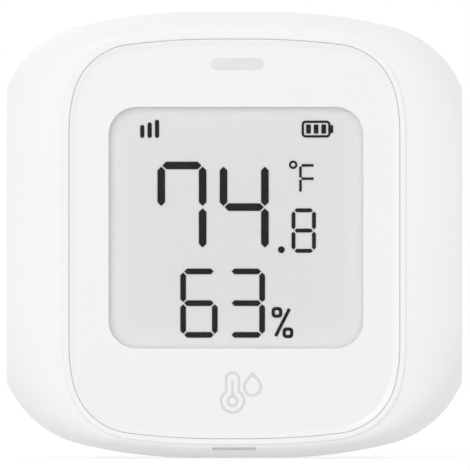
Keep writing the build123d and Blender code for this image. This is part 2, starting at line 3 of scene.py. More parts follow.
import bmesh
import bpy
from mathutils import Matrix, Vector


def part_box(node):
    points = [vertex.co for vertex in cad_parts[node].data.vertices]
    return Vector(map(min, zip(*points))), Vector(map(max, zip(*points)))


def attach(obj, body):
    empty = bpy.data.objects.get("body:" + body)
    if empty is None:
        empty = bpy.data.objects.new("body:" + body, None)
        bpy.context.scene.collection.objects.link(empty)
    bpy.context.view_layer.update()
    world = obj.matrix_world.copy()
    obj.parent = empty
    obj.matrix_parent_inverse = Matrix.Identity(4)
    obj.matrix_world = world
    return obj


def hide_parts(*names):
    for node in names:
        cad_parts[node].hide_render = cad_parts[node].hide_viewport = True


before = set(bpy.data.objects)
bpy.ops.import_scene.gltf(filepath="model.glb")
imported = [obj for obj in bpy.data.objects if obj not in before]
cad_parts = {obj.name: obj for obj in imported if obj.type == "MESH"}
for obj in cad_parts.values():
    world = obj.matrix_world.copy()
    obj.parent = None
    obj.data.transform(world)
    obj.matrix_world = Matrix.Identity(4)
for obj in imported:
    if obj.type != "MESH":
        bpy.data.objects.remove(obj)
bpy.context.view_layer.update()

# Millimetres become the scene's metres through this one value
MM = 0.001

# The photograph: its frame, and how wide a view it takes in at the object
photo_pixels = 470
mm_per_pixel = 0.1342
body_middle_px = 234.5
body_middle_py = 235.0
camera_distance = 3000 * MM
sensor_width = 36.0

# Depths of what the scene adds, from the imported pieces, and in millimetres how thick a print is drawn and what room the segments keep
thin = 0.02
lens_low, lens_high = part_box("display_window")
polariser_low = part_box("front_polariser")[0]
body_low, body_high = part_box("front_case")
plate_face = lens_low.y
print_depth = thin * MM
segment_front = lens_high.y + thin * MM
segment_back = polariser_low.y - thin * MM


def linear(code):
    """An sRGB hex colour as linear red, green, blue and alpha."""
    channels = [int(code[at:at + 2], 16) / 255 for at in (1, 3, 5)]
    return [c / 12.92 if c <= 0.04045 else ((c + 0.055) / 1.055) ** 2.4 for c in channels] + [1]


def add(tree, kind, values=None, **settings):
    """Adds a node with its settings. A value that is a socket is linked, any other is set."""
    made = tree.nodes.new(kind)
    for name, value in settings.items():
        setattr(made, name, value)
    for name, value in (values or {}).items():
        if isinstance(value, bpy.types.NodeSocket):
            tree.links.new(value, made.inputs[name])
        else:
            made.inputs[name].default_value = value
    return made


def start(name):
    """A new material without nodes, its tree, and the place on the object in metres."""
    made = bpy.data.materials.new(name)
    made.use_nodes = True
    tree = made.node_tree
    tree.nodes.clear()
    place = add(tree, "ShaderNodeTexCoord").outputs["Object"]
    return made, tree, place


def per(size):
    """A texture's scale for marks of a size in millimetres."""
    return 1 / (size * MM)


def spread(tree, place, size, low, high, detail=3.0):
    """A noise with marks of a size in millimetres, spread between two values."""
    noise = add(tree, "ShaderNodeTexNoise", {"Vector": place, "Scale": per(size), "Detail": detail})
    return add(tree, "ShaderNodeMapRange", {
        "Value": noise.outputs["Fac"], "From Min": 0.3, "From Max": 0.7,
        "To Min": low, "To Max": high,
    }).outputs["Result"]


def tint(tree, share, first, second):
    """A colour between two hex colours."""
    return add(tree, "ShaderNodeMix", {
        "Factor": share, 6: linear(first), 7: linear(second),
    }, data_type="RGBA").outputs[2]


def relief(tree, height, depth, strength=1.0):
    """A surface's normal from heights of 0 to 1 over a depth in millimetres."""
    return add(tree, "ShaderNodeBump", {
        "Height": height, "Distance": depth * MM, "Strength": strength,
    }).outputs["Normal"]


def maths(tree, operation, *values):
    """The result of one operation on sockets or numbers."""
    return add(tree, "ShaderNodeMath", dict(enumerate(values)), operation=operation).outputs[0]


def end(made, tree, values):
    """Closes a material with its shader."""
    shader = add(tree, "ShaderNodeBsdfPrincipled", values)
    add(tree, "ShaderNodeOutputMaterial", {"Surface": shader.outputs["BSDF"]})
    return made


def moulded_abs():
    """ABS from a spark-eroded mould: a white satin that spreads the lamps widely,
    with a grain of 0.3 mm, drawn coarser than the real one so that it shows."""
    made, tree, place = start("white_satin_abs")
    return end(made, tree, {
        "Base Color": tint(tree, spread(tree, place, 14, 0, 1), "#F1F1F0", "#F0F0F0"),
        "Roughness": spread(tree, place, 0.9, 0.40, 0.48),
        "IOR": 1.54,
        "Normal": relief(tree, spread(tree, place, 0.3, 0, 1), 0.004, 0.5),
    })


def polished_plate():
    """ABS from a polished mould: the plate's smoother white, with a faint moulding waviness."""
    made, tree, place = start("white_polished_abs")
    return end(made, tree, {
        "Base Color": tint(tree, spread(tree, place, 18, 0, 1), "#EFEFEF", "#EEEEEE"),
        "Roughness": spread(tree, place, 2.2, 0.26, 0.30),
        "IOR": 1.54,
        "Normal": relief(tree, spread(tree, place, 9, 0, 1), 0.003, 0.3),
    })


def clear_acrylic():
    """Clear cast acrylic, coated: it lets light through and lays a white veil over what
    lies behind it, 1 % a face when seen face on and more at a slant: a painted
    reflection of a white surround, beside its real gloss. Its polished edges mirror all
    light inside and glow with painted light, which lifts the shade on the display beside them to a
    faint shadow."""
    made, tree, place = start("clear_acrylic")
    slant = add(tree, "ShaderNodeLayerWeight", {"Blend": 0.5}).outputs["Facing"]
    # Share of the painted white reflection, larger at a slant
    painted_reflection_veil = add(tree, "ShaderNodeMapRange", {
        "Value": maths(tree, "POWER", slant, 5.0), "To Min": 0.01, "To Max": 0.5,
    }).outputs["Result"]
    facing = add(tree, "ShaderNodeTexCoord").outputs["Normal"]
    forward = add(tree, "ShaderNodeSeparateXYZ", {0: facing}).outputs["Y"]
    edge_mirror_painted_glow = maths(tree, "LESS_THAN", maths(tree, "ABSOLUTE", forward), 0.5)
    return end(made, tree, {
        # White base colour at the veil's share: a painted reflection of a white surround
        "Base Color": linear("#FFFFFF"),
        "Metallic": edge_mirror_painted_glow,
        # Painted glow on the edges: emission that lifts the shade on the display beside them
        "Emission Color": linear("#FFFFFF"),
        "Emission Strength": maths(tree, "MULTIPLY", edge_mirror_painted_glow, 0.7),
        "Roughness": spread(tree, place, 4, 0.04, 0.07),
        "IOR": 1.49,
        "Alpha": maths(tree, "MAXIMUM", painted_reflection_veil, edge_mirror_painted_glow),
        "Normal": relief(tree, spread(tree, place, 9, 0, 1), 0.002, 0.3),
    })


def frosted_polycarbonate():
    """Frosted polycarbonate: a milky grey light guide that glows a little inside."""
    made, tree, place = start("frosted_polycarbonate")
    return end(made, tree, {
        "Base Color": tint(tree, spread(tree, place, 1.6, 0, 1), "#E3E3E4", "#DFDFE0"),
        "Roughness": spread(tree, place, 0.5, 0.42, 0.52),
        "IOR": 1.585,
        "Subsurface Weight": 0.15,
        "Subsurface Radius": [0.6 * MM, 0.6 * MM, 0.6 * MM],
        "Normal": relief(tree, spread(tree, place, 0.25, 0, 1), 0.005, 0.5),
    })


def reflective_polariser():
    """Polariser film over a reflector: an even silver grey with a very fine grain."""
    made, tree, place = start("reflective_polariser_film")
    return end(made, tree, {
        "Base Color": tint(tree, spread(tree, place, 0.35, 0, 1), "#DDDDDD", "#DBDBDB"),
        "Roughness": spread(tree, place, 3, 0.46, 0.54),
        "IOR": 1.5,
    })


def liquid_crystal_dark():
    """Switched liquid crystal: a near black without gloss of its own, as it lies in
    glass, with soft brightness over a segment."""
    made, tree, place = start("liquid_crystal_segment")
    return end(made, tree, {
        "Base Color": tint(tree, spread(tree, place, 1.2, 0, 1), "#101010", "#161616"),
        "Roughness": 0.6,
        "Specular IOR Level": 0.0,
    })


def display_glass():
    """Soda-lime float glass, ground on its edges: clear, with a faint green body."""
    made, tree, place = start("soda_lime_glass")
    return end(made, tree, {
        "Base Color": tint(tree, spread(tree, place, 12, 0, 1), "#DDE6E1", "#D6E2DC"),
        "Roughness": spread(tree, place, 3, 0.04, 0.08),
        "IOR": 1.52,
        "Alpha": 0.35,
    })


def pad_print():
    """Pad-printed ink: a flat grey whose edge and body vary a little with the pad."""
    made, tree, place = start("grey_pad_print")
    return end(made, tree, {
        "Base Color": tint(tree, spread(tree, place, 0.5, 0, 1), "#D9D9D9", "#D3D3D3"),
        "Roughness": spread(tree, place, 0.6, 0.45, 0.6),
        "IOR": 1.5,
    })


def inner_abs():
    """Plain ABS of the inner frames: white, duller than the housing, with flow marks."""
    made, tree, place = start("plain_inner_abs")
    return end(made, tree, {
        "Base Color": tint(tree, spread(tree, place, 7, 0, 1), "#EAEAE8", "#E2E2DF"),
        "Roughness": spread(tree, place, 1.3, 0.45, 0.6),
        "IOR": 1.54,
        "Normal": relief(tree, spread(tree, place, 0.4, 0, 1), 0.006, 0.5),
    })


def striped_silicone():
    """Silicone rubber with carbon layers: fine pink and black stripes across its length."""
    made, tree, place = start("striped_silicone_rubber")
    bands = add(tree, "ShaderNodeTexWave", {
        "Vector": place, "Scale": per(0.5) / 20, "Distortion": 0.0,
    }, bands_direction="X")
    return end(made, tree, {
        "Base Color": tint(tree, bands.outputs["Fac"], "#2A2526", "#C99A98"),
        "Roughness": 0.7,
        "IOR": 1.41,
    })


def solder_mask():
    """Glass-epoxy board under green solder mask: weave below, a gloss above."""
    made, tree, place = start("green_solder_mask")
    weave = add(tree, "ShaderNodeTexChecker", {
        "Vector": place, "Scale": per(0.6),
        "Color1": linear("#FFFFFF"), "Color2": linear("#000000"),
    })
    return end(made, tree, {
        "Base Color": tint(tree, spread(tree, place, 2.5, 0, 1), "#14532F", "#1B6238"),
        "Roughness": spread(tree, place, 1.5, 0.28, 0.42),
        "IOR": 1.55,
        "Normal": relief(tree, weave.outputs["Fac"], 0.004, 0.4),
    })


def moulded_epoxy():
    """Black moulding epoxy of chips: charcoal with a fine filler grain."""
    made, tree, place = start("black_moulding_epoxy")
    return end(made, tree, {
        "Base Color": tint(tree, spread(tree, place, 0.3, 0, 1), "#1D1D1E", "#29292A"),
        "Roughness": spread(tree, place, 0.5, 0.5, 0.65),
        "IOR": 1.55,
        "Normal": relief(tree, spread(tree, place, 0.15, 0, 1), 0.006, 0.6),
    })


def phosphor_resin():
    """White ceramic-filled resin of the light, yellowed a little where the phosphor is."""
    made, tree, place = start("phosphor_resin")
    return end(made, tree, {
        "Base Color": tint(tree, spread(tree, place, 0.9, 0, 1), "#F3EFC6", "#E9E6D6"),
        "Roughness": 0.4,
        "IOR": 1.5,
    })


def nickel_plate(name, rough):
    """Nickel plate on steel: a warm grey metal whose rolled grain scatters the gloss."""
    made, tree, place = start(name)
    stretched = add(tree, "ShaderNodeMapping", {"Vector": place, "Scale": (1, 1, 12)})
    grain = spread(tree, stretched.outputs["Vector"], 1.2, 0, 1)
    return end(made, tree, {
        "Base Color": tint(tree, spread(tree, place, 2, 0, 1), "#C9C6C0", "#BDBAB4"),
        "Metallic": 1.0,
        "Roughness": spread(tree, place, 0.6, rough, rough + 0.12),
        "Normal": relief(tree, grain, 0.003, 0.5),
    })


def printed_sleeve(name, first, second):
    """Heat-shrunk PVC sleeve with printed ink: smooth, with a shrink ripple."""
    made, tree, place = start(name)
    return end(made, tree, {
        "Base Color": tint(tree, spread(tree, place, 5, 0, 1), first, second),
        "Roughness": spread(tree, place, 2, 0.22, 0.34),
        "IOR": 1.53,
        "Coat Weight": 0.3,
        "Coat Roughness": 0.12,
        "Normal": relief(tree, spread(tree, place, 3, 0, 1), 0.02, 0.4),
    })


def adhesive_tape():
    """Acrylic foam tape: a dull off-white with small cells."""
    made, tree, place = start("acrylic_foam_tape")
    return end(made, tree, {
        "Base Color": tint(tree, spread(tree, place, 0.4, 0, 1), "#DAD8D2", "#CFCDC7"),
        "Roughness": 0.8,
        "IOR": 1.47,
        "Normal": relief(tree, spread(tree, place, 0.3, 0, 1), 0.02, 0.6),
    })


housing_white = moulded_abs()
plate_white = polished_plate()
acrylic = clear_acrylic()
light_guide = frosted_polycarbonate()
polariser = reflective_polariser()
segment_dark = liquid_crystal_dark()
glass = display_glass()
grey_print = pad_print()
inner_white = inner_abs()
silicone = striped_silicone()
board_green = solder_mask()
chip_black = moulded_epoxy()
phosphor = phosphor_resin()
contact_nickel = nickel_plate("nickel_plated_spring_steel", 0.26)
screw_nickel = nickel_plate("nickel_plated_screw_steel", 0.32)
can_nickel = nickel_plate("tinned_shield_steel", 0.36)
cell_end = nickel_plate("nickel_plated_cell_can", 0.2)
sleeve_body = printed_sleeve("sleeve_grey_ink", "#50555A", "#565B60")
sleeve_band = printed_sleeve("sleeve_teal_ink", "#1F7F86", "#23868D")
sleeve_mark = printed_sleeve("sleeve_white_ink", "#EDEDEA", "#E4E4E1")
tape_foam = adhesive_tape()

node_finishes = {
    "front_case": housing_white,
    "rear_cover": housing_white,
    "face_plate": plate_white,
    "display_window": acrylic,
    "light_pipe": light_guide,
    "front_polariser": polariser,
    "rear_polariser": polariser,
    "lcd_front_glass": glass,
    "lcd_rear_glass": glass,
    "lcd_holder": inner_white,
    "battery_tray": inner_white,
    "pairing_button": inner_white,
    "zebra_strip": silicone,
    "main_board": board_green,
    "radio_module": board_green,
    "humidity_sensor": chip_black,
    "controller_chip": chip_black,
    "switch_body": chip_black,
    "switch_plunger": chip_black,
    "status_led": phosphor,
    "shield_can": can_nickel,
    "positive_terminal": contact_nickel,
    "negative_terminal": contact_nickel,
    "link_contact": contact_nickel,
    "upper_spring": contact_nickel,
    "lower_spring": contact_nickel,
    "board_screws": screw_nickel,
    "tray_screws": screw_nickel,
    "upper_cell": cell_end,
    "lower_cell": cell_end,
    "plate_tape": tape_foam,
}
for name, finish in node_finishes.items():
    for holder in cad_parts[name].material_slots:
        holder.link = "OBJECT"
        holder.material = finish


def piece(name, mesh, finishes, body):
    """An object from a finished bmesh, on its body and with its slot."""
    data = bpy.data.meshes.new(name)
    bmesh.ops.remove_doubles(mesh, verts=mesh.verts, dist=1e-8)
    bmesh.ops.recalc_face_normals(mesh, faces=mesh.faces)
    mesh.to_mesh(data)
    mesh.free()
    for finish in finishes:
        data.materials.append(finish)
    made = bpy.data.objects.new(name, data)
    bpy.context.scene.collection.objects.link(made)
    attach(made, body)
    return made


def plate_of(mesh, outline, front, back, inner=None):
    """Adds a closed flat piece between two depths: a filled outline, or the band
    between it and an inner outline of as many points. Outlines are in millimetres."""
    rings = []
    for loop in (outline, inner) if inner else (outline,):
        for depth in (front, back):
            rings.append([mesh.verts.new((x * MM, depth, z * MM)) for x, z in loop])
    count = len(outline)
    for at in range(count):
        beside = (at + 1) % count
        mesh.faces.new((rings[0][at], rings[0][beside], rings[1][beside], rings[1][at]))
        if inner:
            mesh.faces.new((rings[2][at], rings[2][beside], rings[3][beside], rings[3][at]))
            mesh.faces.new((rings[0][at], rings[0][beside], rings[2][beside], rings[2][at]))
            mesh.faces.new((rings[1][at], rings[1][beside], rings[3][beside], rings[3][at]))
    if not inner:
        mesh.faces.new(rings[0])
        mesh.faces.new(rings[1])


def arc(centre, radius, first, last, steps):
    """Points on an arc, its angles in degrees from the right."""
    angles = [math.radians(first + (last - first) * step / steps) for step in range(steps + 1)]
    return [(centre[0] + radius * math.cos(a), centre[1] + radius * math.sin(a)) for a in angles]


def circle(centre, radius, steps=40):
    """Points round a circle."""
    return arc(centre, radius, 0, 360, steps)[:-1]


def stroke(first, last, width, round_ends=False):
    """The outline of a straight stroke, with square or round ends."""
    run = Vector((last[0] - first[0], last[1] - first[1]))
    side = Vector((-run.y, run.x)).normalized() * width / 2
    if not round_ends:
        return [
            (first[0] + side.x, first[1] + side.y), (first[0] - side.x, first[1] - side.y),
            (last[0] - side.x, last[1] - side.y), (last[0] + side.x, last[1] + side.y),
        ]
    heading = math.degrees(math.atan2(run.y, run.x))
    tail = arc(first, width / 2, heading + 90, heading + 270, 10)
    return tail + arc(last, width / 2, heading - 90, heading + 90, 10)


# A round end keeps a straight edge of twice this length, so that no two points meet
least_edge = 0.001


def rounded(centre, width, height, radius, steps=8):
    """A rectangle with round corners."""
    points = []
    for turn, (sx, sz) in enumerate(((1, 1), (-1, 1), (-1, -1), (1, -1))):
        corner = (centre[0] + sx * (width / 2 - radius), centre[1] + sz * (height / 2 - radius))
        points += arc(corner, radius, 90 * turn, 90 * turn + 90, steps)
    return points


# Numerals of the display: which bars each one lights, named as on a data sheet
lit_bars = {
    "3": "abcdg",
    "4": "bcfg",
    "6": "acdefg",
    "7": "abcf",
    "8": "abcdefg",
}
tip_gap = 0.15


def numeral(mesh, figure, centre, width, rise, thickness):
    """Adds one numeral of pointed bars. Width and rise are between the bars' middles."""
    x, z = centre
    left, right = x - width / 2, x + width / 2
    ends = {
        "a": ((left, z + rise), (right, z + rise)),
        "b": ((right, z + rise), (right, z)),
        "c": ((right, z), (right, z - rise)),
        "d": ((left, z - rise), (right, z - rise)),
        "e": ((left, z), (left, z - rise)),
        "f": ((left, z + rise), (left, z)),
        "g": ((left, z), (right, z)),
    }
    for bar in lit_bars[figure]:
        first, last = (Vector(point) for point in ends[bar])
        along = (last - first).normalized()
        across = Vector((-along.y, along.x)) * thickness / 2
        first = first + along * tip_gap
        last = last - along * tip_gap
        shoulder = along * thickness / 2
        outline = [
            first, first + shoulder + across, last - shoulder + across,
            last, last - shoulder - across, first + shoulder - across,
        ]
        plate_of(mesh, [tuple(point) for point in outline], segment_front, segment_back)


# Temperature figures
large_width = 5.556
large_rise = 5.59
large_bar = 1.02
large_middle = 33.745
large_pitch = 8.36
large_right = 1.302
temperature = bmesh.new()
for figure, x in (("7", large_right - large_pitch), ("4", large_right)):
    numeral(temperature, figure, (x, large_middle), large_width, large_rise, large_bar)
point_place = (6.294, 28.03)
point_radius = 0.456
plate_of(temperature, circle(point_place, point_radius), segment_front, segment_back)
tenth_place = (9.294, 30.6)
tenth_width = 2.751
tenth_rise = 2.72
tenth_bar = 0.523
numeral(temperature, "8", tenth_place, tenth_width, tenth_rise, tenth_bar)
piece("temperature_figures", temperature, [segment_dark], "housing")

# Humidity figures
humid_width = 4.254
humid_rise = 4.261
humid_bar = 0.76
humid_middle = 20.85
humid_left = -4.771
humid_pitch = 6.361
humidity = bmesh.new()
for figure, x in (("6", humid_left), ("3", humid_left + humid_pitch)):
    numeral(humidity, figure, (x, humid_middle), humid_width, humid_rise, humid_bar)
piece("humidity_figures", humidity, [segment_dark], "housing")

# Unit signs: a degree ring with its letter, and a percent sign
unit_stroke = 0.336
degree_place = (7.878, 39.43)
degree_radius = 0.564
stem_x = 8.857
stem_top = 39.349
stem_break = 37.564
stem_foot = 35.844
arm_end = 10.61
arm_gap = 0.16
percent_stroke = 0.43
percent_ring = 1.436
percent_corner = 0.5
percent_upper = (5.697, 19.607)
percent_lower = (7.173, 16.869)
slash_foot = (5.529, 16.426)
slash_top = (7.368, 20.09)
units = bmesh.new()
plate_of(
    units, circle(degree_place, degree_radius), segment_front, segment_back,
    circle(degree_place, degree_radius / 2),
)
for first, last in (
    ((stem_x, stem_top - arm_gap), (stem_x, stem_break + arm_gap)),
    ((stem_x, stem_break - arm_gap), (stem_x, stem_foot)),
    ((stem_x + arm_gap, stem_top), (arm_end, stem_top)),
    ((stem_x + arm_gap, stem_break), (arm_end, stem_break)),
):
    plate_of(units, stroke(first, last, unit_stroke), segment_front, segment_back)
for centre in (percent_upper, percent_lower):
    inside = percent_ring - 2 * percent_stroke
    plate_of(
        units, rounded(centre, percent_ring, percent_ring, percent_corner),
        segment_front, segment_back,
        rounded(centre, inside, inside, percent_corner / 3),
    )
plate_of(units, stroke(slash_foot, slash_top, percent_stroke), segment_front, segment_back)
piece("unit_signs", units, [segment_dark], "housing")

# Signal bars and the battery sign at the top of the display
signal_foot = 43.04
signal_tops = (44.78, 45.13, 45.48)
signal_first = -12.387
signal_pitch = 0.993
signal_width = 0.564
battery_left = 9.018
battery_right = 12.897
battery_low = 43.092
battery_top = 45.36
battery_stroke = 0.309
battery_corner = 0.537
nub_reach = 0.35
nub_half = 0.543
charge_width = 0.644
charge_height = 1.22
charge_pitch = 1.02
signs = bmesh.new()
for number, top in enumerate(signal_tops):
    x = signal_first + number * signal_pitch
    inset = signal_width / 2
    plate_of(
        signs, stroke((x, signal_foot + inset), (x, top - inset), signal_width, True),
        segment_front, segment_back,
    )
battery_centre = ((battery_left + battery_right) / 2, (battery_low + battery_top) / 2)
battery_width = battery_right - battery_left
battery_height = battery_top - battery_low
plate_of(
    signs, rounded(battery_centre, battery_width, battery_height, battery_corner),
    segment_front, segment_back,
    rounded(
        battery_centre, battery_width - 2 * battery_stroke, battery_height - 2 * battery_stroke,
        battery_corner - battery_stroke,
    ),
)
nub_place = (battery_right + nub_reach / 2, battery_centre[1])
plate_of(
    signs, rounded(nub_place, nub_reach, 2 * nub_half, nub_reach / 3),
    segment_front, segment_back,
)
for number in (-1, 0, 1):
    place = (battery_centre[0] + number * charge_pitch, battery_centre[1])
    plate_of(
        signs, rounded(place, charge_width, charge_height, charge_width / 5),
        segment_front, segment_back,
    )
piece("status_signs", signs, [segment_dark], "housing")

# Printed sign under the display: a thermometer and a drop
print_front = plate_face - print_depth
tube_x = -0.265
tube_half = 1.027
tube_top = 11.715
bulb_height = 7.717
bulb_radius = 1.704
sign_stroke = 0.349
core_radius = 0.819
core_inner = 0.443
core_top = 10.535
drop_x = 2.43
drop_tip = 11.675
drop_radius = 1.30
drop_height = 9.595
# How far round the foot of the drop its sides part from it, how straight they
# leave, and in how many steps they are drawn
shoulder_share = 0.55
knee_share = 0.5
side_steps = 12


def thermometer(half, radius, top):
    """The outline of a thermometer: a bulb, and a tube with a round top."""
    entry = math.degrees(math.asin(half / radius))
    bulb = arc((tube_x, bulb_height), radius, 90 + entry, 450 - entry, 48)
    return bulb + arc((tube_x, top - half), half, 0, 180, 16)


def drop(radius, tip):
    """The outline of a drop: a round foot, and sides that close to a tip."""
    rise = tip - drop_height
    shoulder = math.degrees(math.acos(radius / rise)) * shoulder_share
    foot = arc((drop_x, drop_height), radius, 180 - shoulder, 360 + shoulder, 40)
    start_point, turn = Vector(foot[-1]), math.radians(shoulder + 90)
    heading = Vector((math.cos(turn), math.sin(turn)))
    top = Vector((drop_x, tip))
    knee = start_point + heading * (top - start_point).length * knee_share
    side = []
    for step in range(1, side_steps):
        share = step / side_steps
        near = start_point.lerp(knee, share)
        side.append(tuple(near.lerp(knee.lerp(top, share), share)))
    other = [(2 * drop_x - x, z) for x, z in reversed(side)]
    return foot + side + [tuple(top)] + other


sign = bmesh.new()
plate_of(
    sign, thermometer(tube_half, bulb_radius, tube_top), print_front, plate_face,
    thermometer(tube_half - sign_stroke, bulb_radius - sign_stroke, tube_top - sign_stroke),
)
plate_of(
    sign, circle((tube_x, bulb_height), core_radius), print_front, plate_face,
    circle((tube_x, bulb_height), core_inner),
)
core_meets = bulb_height + core_radius
plate_of(
    sign, stroke((tube_x, core_meets), (tube_x, core_top), sign_stroke),
    print_front, plate_face,
)
plate_of(
    sign, drop(drop_radius, drop_tip), print_front, plate_face,
    drop(drop_radius - sign_stroke, drop_tip - 2 * sign_stroke),
)
piece("printed_sign", sign, [grey_print], "housing")


def turned(mesh, profile, origin, heading, steps=64):
    """Adds a body of revolution about X: the profile gives each ring's distance
    along the heading from the origin, its radius and the finish of the band before it."""
    rings = []
    for along, radius, finish in profile:
        centre = Vector(origin) + Vector((heading * along * MM, 0, 0))
        if radius == 0:
            rings.append(([mesh.verts.new(centre)], finish))
            continue
        ring = []
        for step in range(steps):
            angle = 2 * math.pi * step / steps
            offset = Vector((0, math.cos(angle), math.sin(angle))) * radius * MM
            ring.append(mesh.verts.new(centre + offset))
        rings.append((ring, finish))
    for (first, _), (second, finish) in zip(rings, rings[1:]):
        for step in range(steps):
            beside = (step + 1) % steps
            corners = []
            for vert in (first[step % len(first)], first[beside % len(first)],
                         second[beside % len(second)], second[step % len(second)]):
                if vert not in corners:
                    corners.append(vert)
            face = mesh.faces.new(corners)
            face.material_index = finish
            face.smooth = True


# Cells: a steel can in a shrunk sleeve that laps over both of its ends and turns there
# over a rounded shoulder, with a band of another colour at the nub's end
cell_radius = 5.25
nub_radius = 1.9
nub_length = 0.9
sleeve_lap = 0.9
sleeve_thickness = 0.12
sleeve_round = 0.45
sleeve_shoulder = 0.13
end_depth = 0.08
lap_edge = 0.1
nub_round = 0.2
nub_fillet = 0.25
band_share = 0.24


def cell_place(name, heading):
    """A cell's length in millimetres, and the middle of its flat end in metres."""
    low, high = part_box(name)
    tail = low.x if heading > 0 else high.x
    return (high.x - low.x) / MM, (tail, (low.y + high.y) / 2, (low.z + high.z) / 2)


# The upper cell's nub points to +X and the lower one's to -X
cell_headings = (("upper_cell", 1), ("lower_cell", -1))
for name, heading in cell_headings:
    length, origin = cell_place(name, heading)
    can_length = length - nub_length
    inside = cell_radius - sleeve_thickness
    lap = inside - sleeve_lap
    rim = inside - sleeve_thickness
    cell_mesh = bmesh.new()
    turned(cell_mesh, [
        (end_depth, 0, 0),
        (end_depth, lap, 0),
        (end_depth, lap, 1),
        (0, lap + lap_edge, 1),
        (0, inside - sleeve_round, 1),
        (sleeve_shoulder, rim, 1),
        (sleeve_round, cell_radius, 1),
        (can_length * (1 - band_share), cell_radius, 1),
        (can_length - sleeve_round, cell_radius, 2),
        (can_length - sleeve_shoulder, rim, 2),
        (can_length, inside - sleeve_round, 2),
        (can_length, lap + lap_edge, 2),
        (can_length - end_depth, lap, 2),
        (can_length - end_depth, nub_radius + nub_fillet, 0),
        (can_length, nub_radius, 0),
        (length - nub_round, nub_radius, 0),
        (length, nub_radius - nub_fillet, 0),
        (length, 0, 0),
    ], origin, heading)
    cell_finishes = [cell_end, sleeve_body, sleeve_band]
    sleeved = piece(name + "_sleeved", cell_mesh, cell_finishes, "housing")
    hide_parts(name)


def patch(mesh, axis_point, heading, span, turn_span, steps=6):
    """Adds a thin closed patch on a cell's sleeve: its span along the heading in
    millimetres, and its span round the sleeve in degrees from the back."""
    sides = []
    for radius in (cell_radius, cell_radius + thin):
        sides.append([
            [
                mesh.verts.new(Vector(axis_point) + Vector((heading * along, y, z)) * MM)
                for y, z in arc((0, 0), radius, *turn_span, steps)
            ]
            for along in span
        ])
    (low_first, low_last), (top_first, top_last) = sides
    for step in range(steps):
        for near, far in (
            (low_first, low_last), (top_first, top_last),
            (low_first, top_first), (low_last, top_last),
        ):
            mesh.faces.new((near[step], near[step + 1], far[step + 1], far[step]))
    for at in (0, steps):
        mesh.faces.new((low_first[at], low_last[at], top_last[at], top_first[at]))


# Polarity marks printed on the cells: a plus by the nub, a minus by the flat end
mark_size = 2.6
mark_bar = 0.7
mark_from_end = 3.4
long_turn = math.degrees(mark_size / 2 / cell_radius)
bar_turn = math.degrees(mark_bar / 2 / cell_radius)
for name, heading in cell_headings:
    length, axis_point = cell_place(name, heading)
    plus_at = length - nub_length - mark_from_end
    marks = bmesh.new()
    for middle, reach, turn_span in (
        (plus_at, mark_size / 2, (-bar_turn, bar_turn)),
        (plus_at, mark_bar / 2, (bar_turn, long_turn)),
        (plus_at, mark_bar / 2, (-long_turn, -bar_turn)),
        (mark_from_end, mark_size / 2, (-bar_turn, bar_turn)),
    ):
        patch(marks, axis_point, heading, (middle - reach, middle + reach), turn_span)
    piece(name + "_marks", marks, [sleeve_mark], "housing")

# Polarity marks moulded on the tray's floor, outside the bay's end walls
tray_floor = 1.2
moulded_rise = 0.15
tray_floor_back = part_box("battery_tray")[0].y + tray_floor * MM
tray_mark_depths = (tray_floor_back, tray_floor_back + moulded_rise * MM)
moulded_size = 1.7
moulded_bar = 0.42
moulded_x = 27.1
tray_marks = bmesh.new()
half, bar = moulded_size / 2, moulded_bar / 2
for name, heading in cell_headings:
    z = cell_place(name, heading)[1][2] / MM
    x = heading * moulded_x
    cross = [
        (bar, half), (-bar, half), (-bar, bar), (-half, bar), (-half, -bar), (-bar, -bar),
        (-bar, -half), (bar, -half), (bar, -bar), (half, -bar), (half, bar), (bar, bar),
    ]
    plate_of(tray_marks, [(x + dx, z + dz) for dx, dz in cross], *tray_mark_depths)
    plate_of(tray_marks, stroke((-x - half, z), (-x + half, z), moulded_bar), *tray_mark_depths)
piece("tray_marks", tray_marks, [inner_white], "housing")

# Face plate: the moulded part with its raised border, seated close in the bead
plate_half_width = 22.1
plate_half_height = 26.725
plate_middle = 29.475
plate_half_flat = 2.0
plate_crown_turn = 7.0
plate_knee_turn = 69.5
plate_knee_radius = 8.6
plate_side_radius = 21.4
# How far the plate goes past its outline, how high its border stands, and how far
# in the border's top begins and its slope ends
seat_play = 0.07
border_rise = 0.18
border_top_in = 0.1
border_foot_in = 0.8
border_round = 0.04
hole_play = 0.01
window_place = (0.2, 30.975)
window_size = (34.22, 32.47)
window_corner = 3.76
# The rebate behind the window for the lens's rim: its reach and its depth
rim_reach = 1.24
rim_depth = 0.72
pill_place = (0.38, 52.93)
pill_size = (7.0, 1.47)


def plate_outline(inward):
    """Points of the plate's rounded square: in each quarter a flat, a crown arc, a
    knee arc and a side arc that run into each other, all moved in by a distance."""
    half_width = plate_half_width - inward
    half_height = plate_half_height - inward
    knee = plate_knee_radius - inward
    side = plate_side_radius - inward
    crown_turn = math.radians(plate_crown_turn)
    all_turn = math.radians(plate_crown_turn + plate_knee_turn)
    reach = half_width - plate_half_flat - side + (side - knee) * math.sin(all_turn)
    crown = knee + reach / math.sin(crown_turn)
    points = []
    x, z, heading = plate_half_flat, half_height, 0.0
    for radius, last, steps in (
        (crown, crown_turn, 12), (knee, all_turn, 26), (side, math.pi / 2, 8),
    ):
        middle = Vector((x - radius * math.sin(heading), z - radius * math.cos(heading)))
        turns = [heading + (last - heading) * step / steps for step in range(steps)] + [last]
        run = [tuple(middle + radius * Vector((math.sin(t), math.cos(t)))) for t in turns]
        points += run[:-1]
        (x, z), heading = run[-1], last
    quarter = points + [(x, z)]
    right = quarter + [(px, -pz) for px, pz in reversed(quarter)]
    whole = right + [(-px, pz) for px, pz in reversed(right)]
    return [(px, pz + plate_middle) for px, pz in whole]


